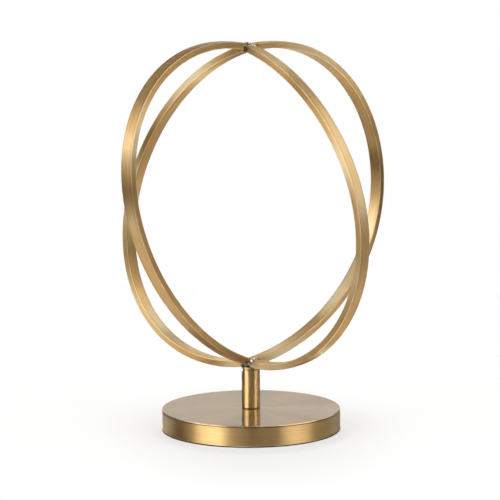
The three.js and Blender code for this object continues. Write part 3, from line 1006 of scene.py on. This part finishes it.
# bearing from the front and half width in degrees, and tone, set in the same way as the bars';
# all tones are below 0 and paint shade: dark bands round the rim and dark sectors on the top face
RIM_SHADE = [(-52, 14, -0.7), (-10, 9, -0.55), (10, 12, -0.3), (42, 12, -0.8)]
TOP_SHADE = [(-92, 16, -0.3), (40, 8, -0.16), (96, 20, -0.24)]


def base_shade(points):
    """Bells of painted shade over the bearing, tone times e to the power of -(distance / half width)
    squared, from one table for the top face and from another for all that lies below it."""
    bearing = np.degrees(np.arctan2(points[..., 0], -points[..., 1]))
    rim, top = 0 * bearing, 0 * bearing
    for total, table in ((rim, RIM_SHADE), (top, TOP_SHADE)):
        for place, half, tone in table:
            total += tone * np.exp(-((bearing - place) / half) ** 2)
    return np.where(points[..., 2] < BASE_TOP - 0.2 * MM, rim, top)


def turned_piece(name, corners, segments, material, node, patina_and_light=None):
    """Closed outline with eased corners, spun round Z; the ease becomes the edge attribute."""
    profile, eased = rounded(corners)
    points = lathe(profile, segments)
    on_axis = corners[0][0] == 0
    faces = grid_faces(len(profile), segments, closed_rows=not on_axis)
    piece = make_piece(name, points, faces, material, [node])
    mark(piece, "edge", np.repeat(eased, segments))
    # on the base this attribute holds painted shade by bearing
    if patina_and_light:
        mark(piece, "patina_and_light", patina_and_light(points))
    tidy(piece)


turned_piece("base_cover", [
    (ROD_BORE, BASE_TOP, FINE_EASE), (BASE_RADIUS, BASE_TOP, TOP_EDGE_EASE),
    (BASE_RADIUS, RIM_BOTTOM, LOW_EDGE_EASE), (BASE_RADIUS - SHELL_WALL, RIM_BOTTOM, FINE_EASE),
    (BASE_RADIUS - SHELL_WALL, BASE_TOP - SHELL_TOP, 0), (ROD_BORE, BASE_TOP - SHELL_TOP, 0),
], BASE_SEGMENTS, BASE_BRASS, "base_shell", base_shade)

turned_piece("post_sleeve", [
    (POST_RADIUS - TUBE_WALL, TUBE_TOP, 0), (POST_RADIUS, TUBE_TOP, FINE_EASE),
    (POST_RADIUS, POST_FOOT, FINE_EASE), (POST_RADIUS - TUBE_WALL, POST_FOOT, 0),
], POST_SEGMENTS, POST_BRASS, "post_tube")

turned_piece("post_head", [
    (0, CAP_TOP, 0), (POST_RADIUS, CAP_TOP, 0.4 * MM), (POST_RADIUS, CAP_SHOULDER, FINE_EASE),
    (SPIGOT_RADIUS, CAP_SHOULDER, 0), (SPIGOT_RADIUS, SPIGOT_BOTTOM, 0.4 * MM),
    (ROD_BORE, SPIGOT_BOTTOM, 0), (ROD_BORE, CAP_BORE_TOP, 0), (0, CAP_BORE_TOP, 0),
], POST_SEGMENTS, POST_BRASS, "post_cap")

# %% [markdown]
# Inside the base a steel rod pulls the post down: it is screwed into the post's cap, and a nut
# with a flat and a spring washer holds it under the ballast weight. Threads are a turned surface
# whose radius also depends on the angle, so that one ridge climbs by a pitch for every turn. The
# same trick makes hexagons: their radius is the half width over the cosine of the angle from the
# nearest flat's middle.

# %% Rod and nut inside the base
THREAD_PITCH = 1.25 * MM
THREAD_DEPTH = 0.62 * MM
ROD_RADIUS = radius("threaded_rod")
HEX_TURN = np.radians(60)
THREAD_COLUMNS = 48
RING_COLUMNS = 96
ROWS_PER_TURN = 10


def hexagon(angle, half_width):
    """Half width over the cosine of the angle from the nearest flat's middle."""
    return half_width / np.cos((angle + HEX_TURN / 2) % HEX_TURN - HEX_TURN / 2)


def thread_surface(bottom, top, outer, pitch, depth, bevel):
    """Rows up the shank and columns round it: radius = outer - depth times a triangle wave of
    height over pitch minus angle over a full turn, cut to a cone at both ends."""
    z = np.linspace(bottom, top, int((top - bottom) / pitch * ROWS_PER_TURN))[:, None]
    angle = full_turn(THREAD_COLUMNS)
    wave = np.abs(((z / pitch - angle / (2 * np.pi)) % 1) * 2 - 1)
    r = outer - depth * wave
    r = np.minimum(r, outer - bevel + np.minimum(z - bottom, top - z))
    return spun(r, angle, z)


def close_ends(points):
    """A row of one repeated middle point before the first row and after the last one."""
    ends = [np.broadcast_to(points[i].mean(0), points[i].shape)[None] for i in (0, -1)]
    return np.concatenate([ends[0], points, ends[1]])


def hidden_piece(name, points, node, closed_rows=False):
    """Zinc plated piece from a grid of points."""
    faces = grid_faces(*points.shape[:2], closed_rows=closed_rows)
    tidy(make_piece(name, points, faces, ZINC, [node]))


rod_bottom, rod_top = levels("threaded_rod")
hidden_piece("tie_rod", close_ends(thread_surface(
    rod_bottom, rod_top, ROD_RADIUS, THREAD_PITCH, THREAD_DEPTH, 0.8 * MM)), "threaded_rod")

nut_bottom, nut_top = levels("rod_nut")
NUT_HALF_WIDTH = 6.5 * MM
NUT_BEVEL = 0.6 * MM


def nut_surface():
    """Closed rows: bore, lower face, sides, upper face, bore. Each row's radius is the smaller of
    the hexagon's and that of a cone that starts just inside the flats and widens by 1.7 of the
    distance to the face."""
    angle = full_turn(RING_COLUMNS)
    z = np.linspace(nut_bottom, nut_top, 12)[:, None]
    to_face = np.minimum(z - nut_bottom, nut_top - z)
    cone = 0.97 * NUT_HALF_WIDTH + 1.7 * to_face
    outside = np.minimum(hexagon(angle, NUT_HALF_WIDTH), cone)
    bore = 0 * outside[:1] + ROD_BORE
    rows = np.concatenate([bore, bore + NUT_BEVEL, outside, bore + NUT_BEVEL, bore])
    height = np.concatenate([[[nut_bottom + NUT_BEVEL], [nut_bottom]], z,
                             [[nut_top], [nut_top - NUT_BEVEL]]])
    return spun(rows, angle, height)


hidden_piece("tie_nut", nut_surface(), "rod_nut", closed_rows=True)

# %% [markdown]
# The spring washer is a ring of square wire, cut through and twisted a little, so its two ends
# bite into nut and washer. A section is carried round almost a full turn and closed at both
# ends. The flat washer and the foot bush are plain turned rings with eased corners.

# %% Washers and bush
SPLIT_HALF = 0.8 * MM
SPRING_TWIST = 0.15 * MM
SPRING_RADIUS = 7.2 * MM


def split_ring(node, bore, outer):
    """Eased square section carried from one end of the split to the other; the ends
    lean, and each half of the way round climbs by the twist."""
    low, high = levels(node)
    section, _ = rounded([(bore, low + SPRING_TWIST, 0.15 * MM),
                          (outer, low + SPRING_TWIST, 0.25 * MM),
                          (outer, high - SPRING_TWIST, 0.25 * MM),
                          (bore, high - SPRING_TWIST, 0.15 * MM)], 4)
    share = np.linspace(-1, 1, 97)[:, None]
    r, z = section[None, :, 0], section[None, :, 1]
    lean = (z - (low + high) / 2) * 0.6
    angle = np.pi + share * (np.pi - (SPLIT_HALF + np.sign(share) * lean) / r)
    return spun(r, angle, z + share * SPRING_TWIST)


ring = close_ends(split_ring("spring_washer", ROD_BORE, SPRING_RADIUS))
hidden_piece("split_washer", ring, "spring_washer")

# piece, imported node, outer radius, and eases in mm of the bore above, the outside above and
# below, and the bore below
for name, node, outer, eases in (
        ("plain_washer", "flat_washer", radius("flat_washer"), (0.1, 0.3, 0.15, 0.1)),
        ("foot_bush", "post_foot_bush", SPIGOT_RADIUS, (0.5, 0.8, 0.4, 0.5))):
    low, high = levels(node)
    places = ((ROD_BORE, high), (outer, high), (outer, low), (ROD_BORE, low))
    corners = [(r, z, ease * MM) for (r, z), ease in zip(places, eases)]
    turned_piece(name, corners, RING_COLUMNS, ZINC, node)


# %% [markdown]
# Three countersunk screws hold the bottom plate. Their rows start in the middle of the hexagon
# socket, go up its wall and over the head's flat, down the cone and along the threaded shank.
# The felt pad is a turned disc whose edge is soft and a little uneven, as cut felt is.

# %% Plate screws and felt
SCREW_HEAD = 3.7 * MM
SCREW_CONE = 1.7 * MM
SCREW_SHANK = 2.0 * MM
SCREW_PITCH = 0.7 * MM
SOCKET_HALF_WIDTH = 1.15 * MM
SOCKET_DEPTH = 1.0 * MM
SOCKET_EASE = 0.1 * MM
HEAD_EASE = 0.15 * MM


def screw_surface(spot, bottom, top):
    """Rows: socket floor, socket wall, head, cone, threaded shank, end; all about the spot."""
    angle = full_turn(THREAD_COLUMNS)
    socket = hexagon(angle, SOCKET_HALF_WIDTH)
    depth = bottom + SOCKET_DEPTH
    neck = bottom + SCREW_CONE
    head = [(0, depth + 0.3 * MM), (socket, depth), (socket, bottom + SOCKET_EASE),
            (socket + SOCKET_EASE, bottom), (SCREW_HEAD - HEAD_EASE, bottom),
            (SCREW_HEAD, bottom + HEAD_EASE), (SCREW_SHANK, neck)]
    rows = [spun(r, angle, z) for r, z in head]
    shank = thread_surface(neck, top, SCREW_SHANK, SCREW_PITCH, 0.3 * MM, 0.5 * MM)
    end = np.broadcast_to((0, 0, top), shank[-1:].shape)
    points = np.concatenate([np.concatenate(rows), shank[1:], end])
    return points + (spot[0], spot[1], 0)


for number in (1, 2, 3):
    low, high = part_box(f"plate_screw_{number}")
    middle = (low + high) / 2
    hidden_piece(f"screw_{number}", screw_surface(middle, low.z, high.z), f"plate_screw_{number}")

FELT_COLUMNS = 240
FELT_SEED = 5
FELT_WAVE = 6 * MM
FELT_UNEVEN = 0.12 * MM
FELT_INSET = 0.2 * MM
FELT_EDGE_SHARE = 0.9
felt_low, felt_high = levels("felt_pad")
felt_edge = radius("felt_pad")
felt_profile, _ = rounded([(0, felt_high, 0), (felt_edge, felt_high, 0.4 * MM),
                           (felt_edge, felt_low, 0.5 * MM), (0, felt_low, 0)])
felt_points = lathe(felt_profile, FELT_COLUMNS)
uneven = lumps(felt_points, FELT_SEED, FELT_WAVE, FELT_UNEVEN) - FELT_INSET
away = felt_points * (1, 1, 0) / felt_edge
at_edge = np.linalg.norm(away, axis=-1) > FELT_EDGE_SHARE
felt_points = felt_points + (uneven * at_edge)[..., None] * away
felt_faces = grid_faces(len(felt_profile), FELT_COLUMNS)
tidy(make_piece("felt_disc", felt_points, felt_faces, FELT, ["felt_pad"]))

# %% [markdown]
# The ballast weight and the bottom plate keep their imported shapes: both are plain, flat and
# hidden, and only their finish is missing.

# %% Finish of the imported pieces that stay
for name, material in (("ballast_weight", IRON), ("bottom_plate", BLACK)):
    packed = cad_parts[name]
    packed.data.materials.clear()
    packed.data.materials.append(material)
    print(name, "gets", material.name)


# %% [markdown]
# The floor is a wide sheet of pale paper. Partly it glows by itself, so that it stays as light as
# the paper of a product picture, and partly it is lit, so that the object's soft shadow falls on
# it. Further out it fades into the white of the backdrop, which leaves no horizon line. The metal
# doesn't mirror the floor: low lamps stand in for the light that such a floor throws back up, and
# the floor lets them through, so the soft shade round and before the base is painted on it, as
# smooth steps over the distance. Seen from below it is clear, so the felt can be looked at.

# %% Floor
FLOOR_RADIUS = 1.2
FADE_START = 0.45
FADE_END = 1.1
FLOOR_GLOW = 0.64
PAPER = 0.42
SHADOW_SHIFT = (0, 25 * MM, 0)
CONTACT_SHIFT = (0, 1.2 * MM, 0)


def distance(place, shift, stretch=(1, 1, 1)):
    """Length of (place + shift) times stretch."""
    offset = tuple(a * b for a, b in zip(shift, stretch))
    moved = vector_math("MULTIPLY_ADD", place, stretch, offset)
    return vector_math("LENGTH", moved.outputs[0]).outputs["Value"]


def make_floor():
    """Disc of paper: glow plus matt paper, mixed with nothing by distance and from below."""
    points = spun(FLOOR_RADIUS, full_turn(RING_COLUMNS), 0)[0]
    mesh = bpy.data.meshes.new("floor")
    mesh.from_pydata(points.tolist(), [], [list(range(len(points)))])
    floor = new_object("floor", mesh)
    material, tree, shader = new_material("floor_paper", 1.0, 0.0)
    place = object_place(tree)
    radius_here = distance(place, (0, 0, 0))
    round_it = distance(place, SHADOW_SHIFT)
    before_it = distance(place, SHADOW_SHIFT, (1.6, 1, 1))
    under_it = distance(place, CONTACT_SHIFT)
    near = ramp(under_it, 0.995 * BASE_RADIUS, 1.008 * BASE_RADIUS, 0.05, 1.0)
    for here, low, high, depth in ((round_it, 0.95, 1.15, 0.93), (before_it, 0.95, 3.1, 0.90)):
        shade = ramp(here, low * BASE_RADIUS, high * BASE_RADIUS, depth, 1.0)
        near = times(near, shade)
    seen = ramp(radius_here, FADE_START, FADE_END, 1.0, 0.0)
    back = add_node(tree, "NewGeometry").outputs["Backfacing"]
    fill(shader, Specular_IOR_Level=0.0, Emission_Strength=FLOOR_GLOW, Emission_Color=near,
         Base_Color=times(near, PAPER),
         Alpha=times(seen, math("SUBTRACT", 1.0, back)))
    mesh.materials.append(material)
    floor.visible_glossy = False
    floor.visible_shadow = False


make_floor()

# %% [markdown]
# What satin metal shows is the light round it, so it is lit from all sides. A studio would hang
# large cloths and boxes; here a dome of broad soft lamps does the same, each 45 degrees wide. The
# table gives their height in degrees, and for each height the bearing, 0 behind the camera and
# positive to the right, with its strength. The strengths came from a least-squares fit of renders
# to a photograph, and were then rounded and thinned out. The strong ones at the left and
# high on the right are the two boxes, and gaps between them draw the dark stripes along the bars.
# The lamps right behind the object are a little warm, as light is that comes off a wall. The
# backdrop is white to the camera and nearly black to the metal, so that the gaps stay dark. Weak
# lamps are only sampled as lamps, because rough metal that finds them by chance shows them as
# grain.

# %% Lamps and backdrop
LAMP_WIDTH = np.radians(45)
REAR = -180
SAMPLED_OVER = 0.35
WARM = (1.0, 0.92, 0.79)
LAMPS = {
    53: {-135: 0.26, 45: 0.58, 90: 0.15, 135: 0.24},
    28: {-180: 0.18, -120: 0.12, -90: 0.58, -60: 0.90, -30: 0.12, 0: 0.24, 60: 0.75, 120: 0.37},
    3: {-180: 0.20, -60: 0.62, -30: 0.12, 60: 0.12},
    -22: {-150: 0.32, -60: 0.12, 60: 0.31, 90: 0.26, 150: 0.26},
    -50: {-180: 0.25, -90: 0.32, -45: 0.69, 45: 0.19, 90: 0.36},
    -82: {0: 0.59},
}


def lamp(name, height, bearing, strength):
    """Far, round, soft lamp that shines from (sin b cos h, -cos b cos h, sin h)."""
    h, b = np.radians(height), np.radians(bearing)
    away = Vector((np.sin(b) * np.cos(h), -np.cos(b) * np.cos(h), np.sin(h)))
    data = bpy.data.lights.new(name, "SUN")
    data.energy = strength
    data.angle = LAMP_WIDTH
    data.color = WARM if bearing == REAR else (1, 1, 1)
    data.cycles.use_multiple_importance_sampling = strength > SAMPLED_OVER or bearing == REAR
    light = new_object(name, data)
    light.rotation_mode = "QUATERNION"
    light.rotation_quaternion = away.to_track_quat("Z", "Y")
    return light


lamps = [lamp(f"lamp_{height}_{bearing}", height, bearing, strength)
         for height, row in LAMPS.items() for bearing, strength in row.items()]

world = bpy.data.worlds.new("studio")
bpy.context.scene.world = world
world.use_nodes = True
sky = world.node_tree
to_camera = add_node(sky, "LightPath").outputs["Is Camera Ray"]
fill(sky.nodes["Background"],
     Color=mix(to_camera, (0.05, 0.05, 0.05), (0.99, 0.99, 0.99)))
bpy.context.scene.view_settings.view_transform = "Standard"
print(len(lamps), "lamps, together", round(sum(light.data.energy for light in lamps), 2))
